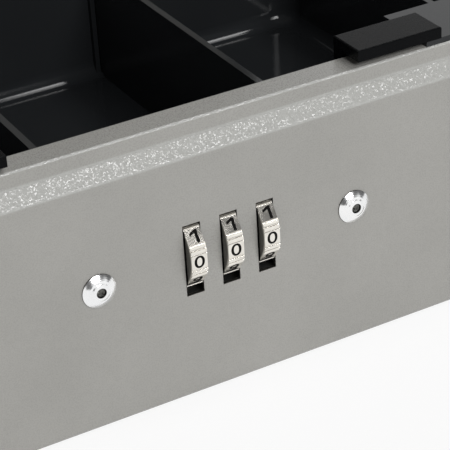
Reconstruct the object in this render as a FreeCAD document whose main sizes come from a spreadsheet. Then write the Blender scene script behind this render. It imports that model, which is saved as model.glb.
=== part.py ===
import FreeCAD, Part
import math
import os
import re
import Sketcher
from FreeCAD import Placement, Rotation, Vector

# Driving dimensions in millimetres and degrees. The front face looks along -Y and the base stands on Z = 0.
SIZES = {
    # folded steel box
    "box_width": 300, "box_depth": 240, "sheet": 1.0, "corner_radius": 9, "base_radius": 1.6,
    "bend_height": 62.3, "joggle_inset": 2.8, "joggle_rise": 2.85, "lip_height": 4.4,
    "bend_radius": 0.9, "rim_radius": 0.6, "return_width": 7.0, "opening_radius": 6,
    # lid and its handle well
    "closed_height": 85, "lid_gap": 0.5, "lid_open": 90, "lid_edge_radius": 3,
    "well_width": 142, "well_length": 66, "well_depth": 8.5, "well_radius": 8, "well_edge_radius": 0.8,
    # bail handle
    "handle_width": 104, "handle_reach": 38, "handle_rod": 4.6, "handle_bend": 9, "handle_pivot_length": 6,
    "pivot_height": 3.7, "pivot_setback": 17, "pivot_clearance": 0.08,
    "bracket_sheet": 1.4, "bracket_gap": 0.4, "bracket_width": 11, "bracket_foot": 10, "bracket_crown": 1.5,
    "bracket_round": 3.6,
    # stop hinges
    "hinge_inset": 60, "leaf_width": 42, "leaf_height": 17, "leaf_sheet": 1.2, "knuckle_radius": 2.6,
    "knuckle_width": 14, "knuckle_gap": 0.3, "wall_gap": 0.3, "hinge_pin": 2.8, "hinge_pin_head": 4.4,
    "hinge_head_length": 1.2, "pin_clearance": 0.06, "stop_width": 7, "stop_reach": 11, "stop_gap": 0.05,
    # three-dial lock
    "lock_shift": 6.2, "lock_height": 36.3, "dial_pitch": 9.4, "slot_width": 4.5, "slot_height": 18.3,
    "dial_radius": 9.9, "dial_protrusion": 3.3, "dial_rise": 0.85, "dial_side_gap": 0.25,
    "facet_depth": 0.3, "facet_width": 3.5, "rib_groove": 0.5, "rib_angle": 6.5, "dial_digits": 10,
    "rivet_span": 66, "rivet_head": 8.3, "rivet_head_height": 1.5, "rivet_rim": 0.25, "rivet_shank": 4.0,
    "rivet_bore": 2.4, "rivet_bore_depth": 2.6, "rivet_tail": 5.8, "rivet_tail_length": 4, "rivet_fit": 0.05,
    "case_sheet": 1.2, "case_gap": 0.7, "case_end_gap": 0.3, "case_top": 15, "case_floor_gap": 0.8,
    "ear_reach": 40, "ear_half_height": 8,
    "spindle": 4.0, "spindle_fit": 0.05, "spindle_head": 5.6, "spindle_head_length": 1.2,
    "hub": 7.0, "hub_gap": 0.2, "collar": 10.6, "collar_sheet": 1.0, "collar_offset": 1.9,
    "gate_width": 3.0, "gate_floor": 3.75, "dial_fit": 0.05, "detent_sheet": 0.35, "detent_width": 3,
    # sliding bolt
    "bolt_travel": 3.0, "bolt_height": 12, "bolt_sheet": 1.5, "bolt_front": 5.4, "bolt_rear": 9.8,
    "bolt_clearance": 0.3, "tooth_sheet": 1.2, "tooth_width": 2.4, "tooth_reach": 4.1, "tooth_offset": 0.3,
    "arm_width": 2.0, "arm_height": 3, "right_arm": 19.2, "left_arm": 28.6, "nose": 1.0, "nose_gap": 0.4,
    "bolt_spring_sheet": 0.4, "bolt_spring_length": 6.4,
    "spring_tab_height": 17, "spring_tab_gap": 0.6,
    # striker on the lid
    "striker_sheet": 1.2, "striker_clearance": 1.6, "striker_lift": 1.5, "striker_headroom": 4.95,
    "prong_width": 8.6, "prong_lobe": 4, "notch_play": 0.6,
    # coin tray
    "flange_sheet": 1.4, "flange_setback": 0.3, "tray_front": 19.4, "tray_clearance": 0.8, "tray_wall": 1.7,
    "tray_depth": 39.9, "tray_floor": 1.6, "tray_corner": 8, "pocket_corner": 6.5, "floor_fillet": 4,
    "cross_wall": 114.9, "side_pocket_wall": 90.5, "wall_drop": 9.9,
    "tray_notch": 124, "notch_drop": 8.5,
    "divider_spacing": 58, "divider_sheet": 1.7, "divider_drop": 7.5, "divider_play": 0.15,
    "guide_width": 1.3, "guide_depth": 1.6, "guide_drop": 13,
    "tab_inner": 43.2, "tab_width": 22.7, "tab_sheet": 2.8, "tab_back": 13.4, "tab_leg": 3.0,
    "tab_leg_drop": 6, "tab_edge": 0.35,
}

DOC = FreeCAD.newDocument("CashBox")
SHEET = DOC.addObject("Spreadsheet::Sheet", "Sizes")
for row, (alias, number) in enumerate(SIZES.items(), start=1):
    SHEET.set(f"A{row}", str(number))
    SHEET.setAlias(f"A{row}", alias)
DOC.recompute()

# Places that several pieces share, worked out from the driving dimensions.
RIM = "(bend_height + joggle_rise + lip_height)"
BEND_DROP = "(sheet * tan(atan(joggle_inset / joggle_rise) / 2))"
STRIP_BACK = "(joggle_inset + return_width)"
LID_LOW = "(bend_height + sheet * joggle_rise / joggle_inset + lid_gap)"
WELL_FLOOR = "(closed_height - well_depth)"
HINGE_X = "(box_width / 2 - hinge_inset)"
HINGE_Z = f"((bend_height + {LID_LOW}) / 2)"
KNUCKLE_CLEAR = "(knuckle_radius + knuckle_gap)"
KNUCKLE_Y = "(knuckle_radius + wall_gap)"
DIAL_Y = "(dial_radius - dial_protrusion)"
DIAL_WIDTH = "(slot_width - 2 * dial_side_gap)"
HUB_LENGTH = "(dial_pitch - hub_gap)"
CASE_LEFT = f"(dial_pitch + {DIAL_WIDTH} / 2 + case_end_gap)"
CASE_RIGHT = f"(dial_pitch - {DIAL_WIDTH} / 2 + {HUB_LENGTH} + case_end_gap)"
CASE_BACK = f"({DIAL_Y} + dial_radius + case_gap)"
CASE_LOW = "(dial_rise - dial_radius - case_floor_gap)"
PRONG_FRONT = f"({STRIP_BACK} + striker_clearance)"
PRONG_BACK = f"({PRONG_FRONT} + striker_sheet)"
RIGHT_PRONG = "(right_arm + arm_width + nose + nose_gap)"
LEFT_PRONG = "(nose + nose_gap + arm_width - left_arm)"
TRAY_BACK = f"(box_depth - {STRIP_BACK} - tray_clearance)"
TRAY_HALF = f"(box_width / 2 - {STRIP_BACK} - tray_clearance)"
PIVOT_Y = "(pivot_setback - well_length / 2)"
PIVOT_Z = f"({WELL_FLOOR} + pivot_height)"

WORD = re.compile(r"[a-z][a-z_]*")
ROLES = {"XY": "XY_Plane", "XZ": "XZ_Plane", "YZ": "YZ_Plane"}
TINY = 1e-4
START, END, CENTRE = range(1, 4)
ORIGIN = (-1, START)


def full(expression):
    """The expression with each driving dimension named as a cell of the sheet."""
    return WORD.sub(lambda m: "Sizes." + m[0] if m[0] in SIZES else m[0], str(expression))


def num(expression):
    """The value of an expression in millimetres or degrees."""
    found = SHEET.evalExpression(full(expression))
    return float(getattr(found, "Value", found))


def bind(thing, name, expression):
    thing.setExpression(name, full(expression))


def new_body(label):
    body = DOC.addObject("PartDesign::Body", label)
    body.Label = label
    return body


def origin_feature(body, role):
    return next(f for f in body.Origin.OriginFeatures if f.Role == role)


def new_sketch(body, plane, offset):
    """An empty sketch on one of the body's own planes, moved along its normal."""
    sketch = body.newObject("Sketcher::SketchObject", f"{body.Name}_sketch")
    sketch.AttachmentSupport = [(origin_feature(body, ROLES[plane]), "")]
    sketch.MapMode = "FlatFace"
    bind(sketch, "AttachmentOffset.Base.z", offset)
    return sketch


def fix_point(sketch, shape, corner, x, y):
    """Ties one point of the sketch to two expressions."""
    for kind, place in (("DistanceX", x), ("DistanceY", y)):
        if place is not None:
            rule = Sketcher.Constraint(kind, *ORIGIN, shape, corner, num(place))
            bind(sketch, f"Constraints[{sketch.addConstraint(rule)}]", place)


def outline(sketch, points):
    """A closed outline of straight sides."""
    at = [Vector(num(x), num(y), 0) for x, y in points]
    first = sketch.GeometryCount
    count = len(points)
    for i in range(count):
        sketch.addGeometry(Part.LineSegment(at[i], at[(i + 1) % count]))
    for i in range(count):
        after = first + (i + 1) % count
        sketch.addConstraint(Sketcher.Constraint("Coincident", first + i, END, after, START))
        fix_point(sketch, first + i, START, *points[i])


def rectangle(sketch, left, right, low, high):
    outline(sketch, [(left, low), (right, low), (right, high), (left, high)])


def circle(sketch, x, y, diameter):
    shape = sketch.addGeometry(Part.Circle(Vector(num(x), num(y), 0), Vector(0, 0, 1), num(diameter) / 2))
    fix_point(sketch, shape, CENTRE, x, y)
    rule = sketch.addConstraint(Sketcher.Constraint("Diameter", shape, num(diameter)))
    bind(sketch, f"Constraints[{rule}]", diameter)


def rounded(sketch, left, right, low, high, radius):
    """A rectangle with round corners."""
    r = num(radius)
    x0, x1, y0, y1 = num(left), num(right), num(low), num(high)
    centres = [(x1 - r, y1 - r), (x0 + r, y1 - r), (x0 + r, y0 + r), (x1 - r, y0 + r)]
    first = sketch.GeometryCount
    up = Vector(0, 0, 1)
    for i, (x, y) in enumerate(centres):
        turn = Part.Circle(Vector(x, y, 0), up, r)
        sketch.addGeometry(Part.ArcOfCircle(turn, i * math.pi / 2, (i + 1) * math.pi / 2))
    sides = [((x1 - r, y1), (x0 + r, y1)), ((x0, y1 - r), (x0, y0 + r)),
             ((x0 + r, y0), (x1 - r, y0)), ((x1, y0 + r), (x1, y1 - r))]
    for a, b in sides:
        sketch.addGeometry(Part.LineSegment(Vector(*a, 0), Vector(*b, 0)))
    for i in range(4):
        side = first + 4 + i
        sketch.addConstraint(Sketcher.Constraint("Tangent", first + i, END, side, START))
        sketch.addConstraint(Sketcher.Constraint("Tangent", side, END, first + (i + 1) % 4, START))
        sketch.addConstraint(Sketcher.Constraint("Vertical" if i % 2 else "Horizontal", side))
    for i in range(3):
        sketch.addConstraint(Sketcher.Constraint("Equal", first, first + i + 1))
    rule = sketch.addConstraint(Sketcher.Constraint("Radius", first, r))
    bind(sketch, f"Constraints[{rule}]", radius)
    fix_point(sketch, first, CENTRE, f"({right}) - ({radius})", f"({high}) - ({radius})")
    fix_point(sketch, first + 2, CENTRE, f"({left}) + ({radius})", f"({low}) + ({radius})")


def settle(body, feature, grows):
    """Builds the feature and makes sure that it added or removed material."""
    before = body.Shape.Volume if not body.Shape.isNull() else 0.0
    body.Tip = feature
    DOC.recompute()
    change = body.Shape.Volume - before
    if (change > TINY) != grows or abs(change) <= TINY:
        raise ValueError(f"{body.Label}: {feature.Name} changed the volume by {change:.4f}")
    return feature


def extrude(body, plane, start, end, draw, grows):
    """A straight feature from one place to another along the plane's axis, +Z, +Y or +X."""
    sketch = new_sketch(body, plane, f"-({start})" if plane == "XZ" else start)
    draw(sketch)
    kind = "PartDesign::Pad" if grows else "PartDesign::Pocket"
    feature = body.newObject(kind, f"{body.Name}_{'pad' if grows else 'pocket'}")
    feature.Profile = sketch
    feature.Reversed = (plane == "XZ") == grows
    bind(feature, "Length", f"({end}) - ({start})")
    return settle(body, feature, grows)


def prism(body, plane, start, end, draw):
    return extrude(body, plane, start, end, draw, True)


def cut(body, plane, start, end, draw):
    return extrude(body, plane, start, end, draw, False)


def loft(body, low, high, draw_low, draw_high, grows):
    """A ruled transition between two level outlines."""
    sketches = [new_sketch(body, "XY", low), new_sketch(body, "XY", high)]
    draw_low(sketches[0])
    draw_high(sketches[1])
    kind = "PartDesign::AdditiveLoft" if grows else "PartDesign::SubtractiveLoft"
    feature = body.newObject(kind, f"{body.Name}_loft")
    feature.Profile = sketches[0]
    feature.Sections = [sketches[1]]
    feature.Ruled = True
    return settle(body, feature, grows)


def fillet(body, radius, chosen):
    """Rounds the edges of the body that the test picks."""
    base = body.Tip
    names = [f"Edge{i}" for i, edge in enumerate(base.Shape.Edges, start=1) if chosen(edge)]
    feature = body.newObject("PartDesign::Fillet", f"{body.Name}_fillet")
    feature.Base = (base, names)
    bind(feature, "Radius", radius)
    body.Tip = feature
    DOC.recompute()
    return feature


def low_dome(sketch, radius, rim, height):
    """Half the outline of a shallow dome that bulges along -Y from a thin straight rim."""
    wide, edge, peak = num(radius), -num(rim), -num(height)
    outside = Vector(wide, edge, 0)
    crown = Vector(0, peak, 0)
    ball = (wide ** 2 + (edge - peak) ** 2) / (2 * (edge - peak))
    lean = math.asin(wide / ball)
    turn = Part.Circle(Vector(0, peak + ball, 0), Vector(0, 0, 1), ball)
    sketch.addGeometry(Part.ArcOfCircle(turn, -math.pi / 2, lean - math.pi / 2))
    corners = [outside, Vector(wide, 0, 0), Vector(0, 0, 0), crown]
    for a, b in zip(corners, corners[1:]):
        sketch.addGeometry(Part.LineSegment(a, b))
    for i in range(4):
        sketch.addConstraint(Sketcher.Constraint("Coincident", i, END, (i + 1) % 4, START))
    fix_point(sketch, 0, CENTRE, "0", None)
    for shape, x, y in ((1, radius, f"-({rim})"), (2, radius, "0"), (3, "0", "0"), (0, "0", f"-({height})")):
        fix_point(sketch, shape, START, x, y)


def turned(body, x, draw):
    """A feature of revolution about a line along Y."""
    sketch = new_sketch(body, "XY", "0")
    bind(sketch, "AttachmentOffset.Base.x", x)
    draw(sketch)
    feature = body.newObject("PartDesign::Revolution", f"{body.Name}_turned")
    feature.Profile = sketch
    feature.ReferenceAxis = (sketch, ["V_Axis"])
    feature.Angle = 360
    return settle(body, feature, True)


def ring(body, feature, count):
    """Repeats a feature evenly around the X axis."""
    pattern = body.newObject("PartDesign::PolarPattern", f"{body.Name}_ring")
    pattern.Originals = [feature]
    pattern.Axis = (origin_feature(body, "X_Axis"), [""])
    pattern.Angle = 360
    bind(pattern, "Occurrences", count)
    return settle(body, pattern, False)


def level(height):
    """Picks level edges at a height."""
    z = num(height)
    return lambda edge: edge.BoundBox.ZLength < TINY and abs(edge.BoundBox.ZMin - z) < TINY


def place(thing, x, y, z, carrier=Placement()):
    thing.Placement = carrier.multiply(Placement(Vector(num(x), num(y), num(z)), Rotation()))


HINGE_AT = Vector(0, num(f"box_depth / 2 + {KNUCKLE_Y}"), num(HINGE_Z))
LID_SWING = Placement(Vector(), Rotation(Vector(1, 0, 0), -num("lid_open")), HINGE_AT)
HANDLE_HANG = Placement(Vector(), Rotation(Vector(1, 0, 0), num("lid_open - 90")))
LEVEL = Placement()
FRONT = "-box_depth / 2"


def wall_line(inset):
    """Draws the outline of the walls, moved inwards by a distance."""
    return lambda sketch: rounded(
        sketch, f"({inset}) - box_width / 2", f"box_width / 2 - ({inset})",
        f"({inset}) - box_depth / 2", f"box_depth / 2 - ({inset})", f"corner_radius - ({inset})")


def centred(width, length, radius):
    """Draws a round-cornered rectangle about the middle of the box."""
    return lambda sketch: rounded(
        sketch, f"-({width}) / 2", f"({width}) / 2", f"-({length}) / 2", f"({length}) / 2", radius)


def is_opening(edge):
    """True for an edge of the opening inside the rim's return."""
    box = edge.BoundBox
    wide = num(f"box_width / 2 - {STRIP_BACK}") + TINY
    deep = num(f"box_depth / 2 - {STRIP_BACK}") + TINY
    return max(abs(box.XMin), abs(box.XMax)) < wide and max(abs(box.YMin), abs(box.YMax)) < deep


def box_body():
    """Folded steel box: plain walls, a joggled rim that the lid closes over and an inward return."""
    body = new_body("box_body")
    upper = "bend_height + joggle_rise"
    prism(body, "XY", "0", "bend_height", wall_line("0"))
    loft(body, "bend_height", upper, wall_line("0"), wall_line("joggle_inset"), True)
    prism(body, "XY", upper, RIM, wall_line("joggle_inset"))
    inner = "joggle_inset + sheet"
    lower_bend, upper_bend = f"bend_height - {BEND_DROP}", f"{upper} - {BEND_DROP}"
    cut(body, "XY", "sheet", lower_bend, wall_line("sheet"))
    loft(body, lower_bend, upper_bend, wall_line("sheet"), wall_line(inner), False)
    cut(body, "XY", upper_bend, f"{RIM} - sheet", wall_line(inner))
    opening = centred(f"box_width - 2 * {STRIP_BACK}", f"box_depth - 2 * {STRIP_BACK}", "opening_radius")
    cut(body, "XY", f"{RIM} - sheet", RIM, opening)
    half = "slot_height / 2"

    def windows(sketch):
        for i in (-1, 0, 1):
            middle = f"lock_shift + {i} * dial_pitch"
            rectangle(sketch, f"{middle} - slot_width / 2", f"{middle} + slot_width / 2",
                      f"lock_height - {half}", f"lock_height + {half}")

    def rivet_holes(sketch):
        for side in (-1, 1):
            middle = f"lock_shift + {side} * rivet_span / 2"
            circle(sketch, middle, "lock_height", "rivet_shank + 2 * rivet_fit")

    cut(body, "XZ", FRONT, f"{FRONT} + sheet", windows)
    cut(body, "XZ", FRONT, f"{FRONT} + sheet", rivet_holes)
    fillet(body, "base_radius", level("0"))
    fillet(body, "bend_radius", level("bend_height"))
    top = level(RIM)
    fillet(body, "rim_radius", lambda edge: top(edge) and not is_opening(edge))
    return body


def lid_shell():
    """Steel lid: a shallow pan with a pressed well for the folding handle."""
    body = new_body("lid_shell")
    under = "closed_height - sheet"
    prism(body, "XY", LID_LOW, "closed_height", wall_line("0"))
    cut(body, "XY", LID_LOW, under, wall_line("sheet"))
    prism(body, "XY", f"{WELL_FLOOR} - sheet", under,
          centred("well_width + 2 * sheet", "well_length + 2 * sheet", "well_radius + sheet"))
    cut(body, "XY", WELL_FLOOR, "closed_height", centred("well_width", "well_length", "well_radius"))
    half = num("well_width / 2 + sheet")
    deep = num("well_length / 2 + sheet")

    def in_well(edge):
        box = edge.BoundBox
        return max(abs(box.XMin), abs(box.XMax)) < half and max(abs(box.YMin), abs(box.YMax)) < deep

    top = level("closed_height")
    fillet(body, "lid_edge_radius", lambda edge: top(edge) and not in_well(edge))
    fillet(body, "well_edge_radius", lambda edge: top(edge) and in_well(edge))
    body.Placement = LID_SWING
    return body


def body_leaf(name, side):
    """Hinge leaf on the rear wall, with two knuckles and a turned-up tongue that stops the open lid."""
    body = new_body(name)
    half, gap = "leaf_width / 2", "knuckle_width / 2 + knuckle_gap"
    stop_top = f"{KNUCKLE_Y} / sin(lid_open) + stop_reach / tan(lid_open) - stop_gap"
    plate = [(f"-{half}", "-leaf_height"), (half, "-leaf_height"), (half, "0"),
             (gap, "0"), (gap, f"-{KNUCKLE_CLEAR}"), (f"-({gap})", f"-{KNUCKLE_CLEAR}"),
             (f"-({gap})", "0"), (f"-{half}", "0")]
    prism(body, "XZ", "0", "leaf_sheet", lambda s: outline(s, plate))
    for low, high in ((f"-{half}", f"-({gap})"), (gap, half)):
        prism(body, "YZ", low, high, lambda s: circle(s, KNUCKLE_Y, "0", "2 * knuckle_radius"))
    bore = "hinge_pin + 2 * pin_clearance"
    cut(body, "YZ", f"-{half}", half, lambda s: circle(s, KNUCKLE_Y, "0", bore))
    edges = [f"{side} * {half}", f"{side} * ({half} + stop_width)"]
    tip = f"{KNUCKLE_Y} + stop_reach"
    prism(body, "XZ", "0", "leaf_sheet", lambda s: rectangle(s, *edges, "-leaf_height", "0"))
    prism(body, "XY", "-leaf_sheet", "0", lambda s: rectangle(s, *edges, "0", tip))
    prism(body, "XY", "-leaf_sheet", stop_top, lambda s: rectangle(s, *edges, f"{tip} - leaf_sheet", tip))
    place(body, f"{side} * {HINGE_X}", "box_depth / 2", HINGE_Z)
    return body


def lid_leaf(name, side):
    """Hinge leaf on the lid's rear skirt, with the middle knuckle."""
    body = new_body(name)
    half, middle = "leaf_width / 2", "knuckle_width / 2"
    plate = [(f"-{half}", "leaf_height"), (half, "leaf_height"), (half, KNUCKLE_CLEAR),
             (middle, KNUCKLE_CLEAR), (middle, "0"), (f"-{middle}", "0"),
             (f"-{middle}", KNUCKLE_CLEAR), (f"-{half}", KNUCKLE_CLEAR)]
    prism(body, "XZ", "0", "leaf_sheet", lambda s: outline(s, plate))
    prism(body, "YZ", f"-{middle}", middle, lambda s: circle(s, KNUCKLE_Y, "0", "2 * knuckle_radius"))
    bore = "hinge_pin + 2 * pin_clearance"
    cut(body, "YZ", f"-{middle}", middle, lambda s: circle(s, KNUCKLE_Y, "0", bore))
    place(body, f"{side} * {HINGE_X}", "box_depth / 2", HINGE_Z, LID_SWING)
    return body


def hinge_pin(name, side):
    """Hinge pin, headed at the end away from the stop tongue."""
    body = new_body(name)
    half = "leaf_width / 2"
    prism(body, "YZ", f"-{half}", half, lambda s: circle(s, "0", "0", "hinge_pin"))
    ends = [f"-{half} - hinge_head_length", f"-{half}"] if side > 0 else [half, f"{half} + hinge_head_length"]
    prism(body, "YZ", *ends, lambda s: circle(s, "0", "0", "hinge_pin_head"))
    place(body, f"{side} * {HINGE_X}", f"box_depth / 2 + {KNUCKLE_Y}", HINGE_Z)
    return body


def at_lock(body):
    place(body, "lock_shift", FRONT, "lock_height")
    return body


def lock_case():
    """Lock case behind the front wall: a tray-shaped pressing with two riveted ears and a spring tab."""
    body = new_body("lock_case")
    left, right = f"-({CASE_LEFT} + case_sheet)", f"{CASE_RIGHT} + case_sheet"
    prism(body, "XY", f"{CASE_LOW} - case_sheet", "case_top + case_sheet",
          lambda s: rectangle(s, left, right, "sheet", f"{CASE_BACK} + case_sheet"))
    cut(body, "XY", CASE_LOW, "case_top",
        lambda s: rectangle(s, f"-{CASE_LEFT}", CASE_RIGHT, "sheet", CASE_BACK))
    ear_back = "sheet + case_sheet"
    for ends in (("-ear_reach", f"-{CASE_LEFT}"), (CASE_RIGHT, "ear_reach")):
        prism(body, "XZ", "sheet", ear_back,
              lambda s: rectangle(s, *ends, "-ear_half_height", "ear_half_height"))
    tab = "left_arm + bolt_clearance + bolt_spring_length"
    tab_low = "rivet_tail / 2 + spring_tab_gap"
    prism(body, "YZ", f"-({tab} + case_sheet)", f"-({tab})",
          lambda s: rectangle(s, "sheet", "bolt_rear", tab_low, "spring_tab_height"))
    slack = "bolt_clearance"
    cut(body, "YZ", left, right, lambda s: rectangle(
        s, f"bolt_front - {slack}", f"bolt_rear + {slack}",
        f"bolt_height - {slack}", f"bolt_height + bolt_sheet + {slack}"))
    cut(body, "YZ", left, right, lambda s: circle(s, DIAL_Y, "dial_rise", "spindle + 2 * spindle_fit"))

    def rivet_holes(sketch):
        for side in (-1, 1):
            circle(sketch, f"{side} * rivet_span / 2", "0", "rivet_shank + 2 * rivet_fit")

    cut(body, "XZ", "sheet", ear_back, rivet_holes)
    return at_lock(body)


def lock_rivets():
    """Two blind rivets with domed, hollow heads."""
    body = new_body("lock_rivets")

    def pair(diameter):
        return lambda s: [circle(s, f"{side} * rivet_span / 2", "0", diameter) for side in (-1, 1)]

    grip = "sheet + case_sheet"
    for side in (-1, 1):
        turned(body, f"{side} * rivet_span / 2",
               lambda s: low_dome(s, "rivet_head / 2", "rivet_rim", "rivet_head_height"))
    prism(body, "XZ", "0", grip, pair("rivet_shank"))
    prism(body, "XZ", grip, f"{grip} + rivet_tail_length", pair("rivet_tail"))
    cut(body, "XZ", "-rivet_head_height", "rivet_bore_depth - rivet_head_height", pair("rivet_bore"))
    return at_lock(body)


def dial_spindle():
    """Spindle that carries the three dials, headed over at both ends."""
    body = new_body("dial_spindle")
    left, right = f"-({CASE_LEFT} + case_sheet)", f"{CASE_RIGHT} + case_sheet"
    prism(body, "YZ", left, right, lambda s: circle(s, "0", "0", "spindle"))
    for ends in ((f"{left} - spindle_head_length", left), (right, f"{right} + spindle_head_length")):
        prism(body, "YZ", *ends, lambda s: circle(s, "0", "0", "spindle_head"))
    place(body, "lock_shift", f"{FRONT} + {DIAL_Y}", "lock_height + dial_rise")
    return body


def at_dial(body, index):
    place(body, f"lock_shift + {index} * dial_pitch", f"{FRONT} + {DIAL_Y}", "lock_height + dial_rise")
    return body


def dial(name, index):
    """Number wheel: ten flat facets with a ribbed grip between each two."""
    body = new_body(name)
    ends = (f"-{DIAL_WIDTH} / 2", f"{DIAL_WIDTH} / 2")
    prism(body, "YZ", *ends, lambda s: circle(s, "0", "0", "2 * dial_radius"))
    cut(body, "YZ", *ends, lambda s: circle(s, "0", "0", "hub + 2 * dial_fit"))
    facet = cut(body, "YZ", *ends, lambda s: rectangle(
        s, "-dial_radius - facet_depth", "facet_depth - dial_radius", "-facet_width / 2", "facet_width / 2"))
    ring(body, facet, "dial_digits")

    def grooves(sketch):
        for step in (-1, 0, 1):
            turn = f"(180 / dial_digits + {step} * rib_angle)"
            circle(sketch, f"-dial_radius * cos{turn}", f"dial_radius * sin{turn}", "rib_groove")

    ring(body, cut(body, "YZ", *ends, grooves), "dial_digits")
    return at_dial(body, index)


def dial_cam(name, index):
    """Sleeve under a dial, with a gated collar that lets the bolt's tooth through at the code."""
    body = new_body(name)
    start = f"-{DIAL_WIDTH} / 2"
    collar = f"{DIAL_WIDTH} / 2 + collar_offset"
    prism(body, "YZ", start, f"{start} + {HUB_LENGTH}", lambda s: circle(s, "0", "0", "hub"))
    prism(body, "YZ", collar, f"{collar} + collar_sheet", lambda s: circle(s, "0", "0", "collar"))
    cut(body, "YZ", start, f"{start} + {HUB_LENGTH}",
        lambda s: circle(s, "0", "0", "spindle + 2 * spindle_fit"))
    cut(body, "YZ", collar, f"{collar} + collar_sheet", lambda s: rectangle(
        s, "-gate_width / 2", "gate_width / 2", "gate_floor", "collar"))
    return at_dial(body, index)


def detent_spring():
    """Leaf spring on the back of the case, with a finger behind each dial."""
    body = new_body("detent_spring")
    front = f"{CASE_BACK} - detent_sheet"
    end = f"(dial_pitch + {DIAL_WIDTH} / 2)"
    low = "dial_rise - dial_radius"
    root = f"{low} + detent_width"
    prism(body, "XZ", front, CASE_BACK, lambda s: rectangle(s, f"-{end}", end, low, root))
    half = "detent_width / 2"
    for i in (-1, 0, 1):
        middle = f"{i} * dial_pitch"
        prism(body, "XZ", front, CASE_BACK, lambda s: rectangle(
            s, f"{middle} - {half}", f"{middle} + {half}", root, f"dial_rise + {half}"))
    return at_lock(body)


def lock_bolt():
    """Sliding bolt: a plate with three teeth for the collars and two noses that hold the striker."""
    body = new_body("lock_bolt")
    top = "bolt_height + bolt_sheet"
    right_end = "right_arm + arm_width"
    prism(body, "XY", "bolt_height", top,
          lambda s: rectangle(s, "-left_arm", right_end, "bolt_front", "bolt_rear"))
    for i in (-1, 0, 1):
        tooth = f"{i} * dial_pitch + {DIAL_WIDTH} / 2 + tooth_offset"
        prism(body, "YZ", tooth, f"{tooth} + tooth_sheet", lambda s: rectangle(
            s, f"{DIAL_Y} - tooth_width / 2", f"{DIAL_Y} + tooth_width / 2", "dial_rise + tooth_reach", top))
    for start in ("right_arm", "-left_arm"):
        arm = f"{start} + arm_width"
        prism(body, "XY", "bolt_height", "bolt_height + arm_height",
              lambda s: rectangle(s, start, arm, "bolt_front", f"{PRONG_BACK} + bolt_clearance"))
        prism(body, "XY", "bolt_height", "bolt_height + arm_height", lambda s: rectangle(
            s, arm, f"{arm} + nose", f"{PRONG_FRONT} - bolt_clearance", f"{PRONG_BACK} + bolt_clearance"))
    return at_lock(body)


def bolt_spring():
    """Hairpin leaf spring that throws the bolt, squeezed while the bolt is held back."""
    body = new_body("bolt_spring")
    leaf = "bolt_spring_sheet"
    tip = "-(left_arm + bolt_clearance)"
    root = f"({tip} - bolt_spring_length)"
    hairpin = [(root, "bolt_rear"), (root, "bolt_front"), (f"{root} + 2 * {leaf}", "bolt_front"),
               (tip, f"bolt_rear - {leaf}"), (tip, "bolt_rear"),
               (f"{root} + 1.5 * {leaf}", f"bolt_front + 1.5 * {leaf}"),
               (f"{root} + {leaf}", f"bolt_front + 1.5 * {leaf}"), (f"{root} + {leaf}", "bolt_rear")]
    prism(body, "XY", "bolt_height", "bolt_height + arm_height", lambda s: outline(s, hairpin))
    return at_lock(body)


def lid_striker():
    """Striker welded inside the lid's front: two notched prongs reach down behind the rim's return."""
    body = new_body("lid_striker")
    web = f"({RIM} + striker_lift)"
    left, right = LEFT_PRONG, f"{RIGHT_PRONG} + prong_width"
    prism(body, "XZ", "sheet", "sheet + striker_sheet",
          lambda s: rectangle(s, left, right, web, "closed_height - striker_headroom"))
    prism(body, "XY", web, f"{web} + striker_sheet", lambda s: rectangle(s, left, right, "sheet", PRONG_BACK))
    low = "(lock_height + bolt_height - notch_play)"
    high = "(lock_height + bolt_height + arm_height + notch_play)"
    for start in (LEFT_PRONG, RIGHT_PRONG):
        end, depth = f"{start} + prong_width", f"{start} + bolt_travel + notch_play"
        prong = [(start, f"{low} - prong_lobe"), (end, f"{low} - prong_lobe"),
                 (end, f"{web} + striker_sheet"), (start, f"{web} + striker_sheet"),
                 (start, high), (depth, high), (depth, low), (start, low)]
        prism(body, "XZ", PRONG_FRONT, PRONG_BACK, lambda s: outline(s, prong))
    place(body, "lock_shift", FRONT, "0", LID_SWING)
    return body


def at_tray(body, x="0"):
    place(body, x, FRONT, RIM)
    return body


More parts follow.
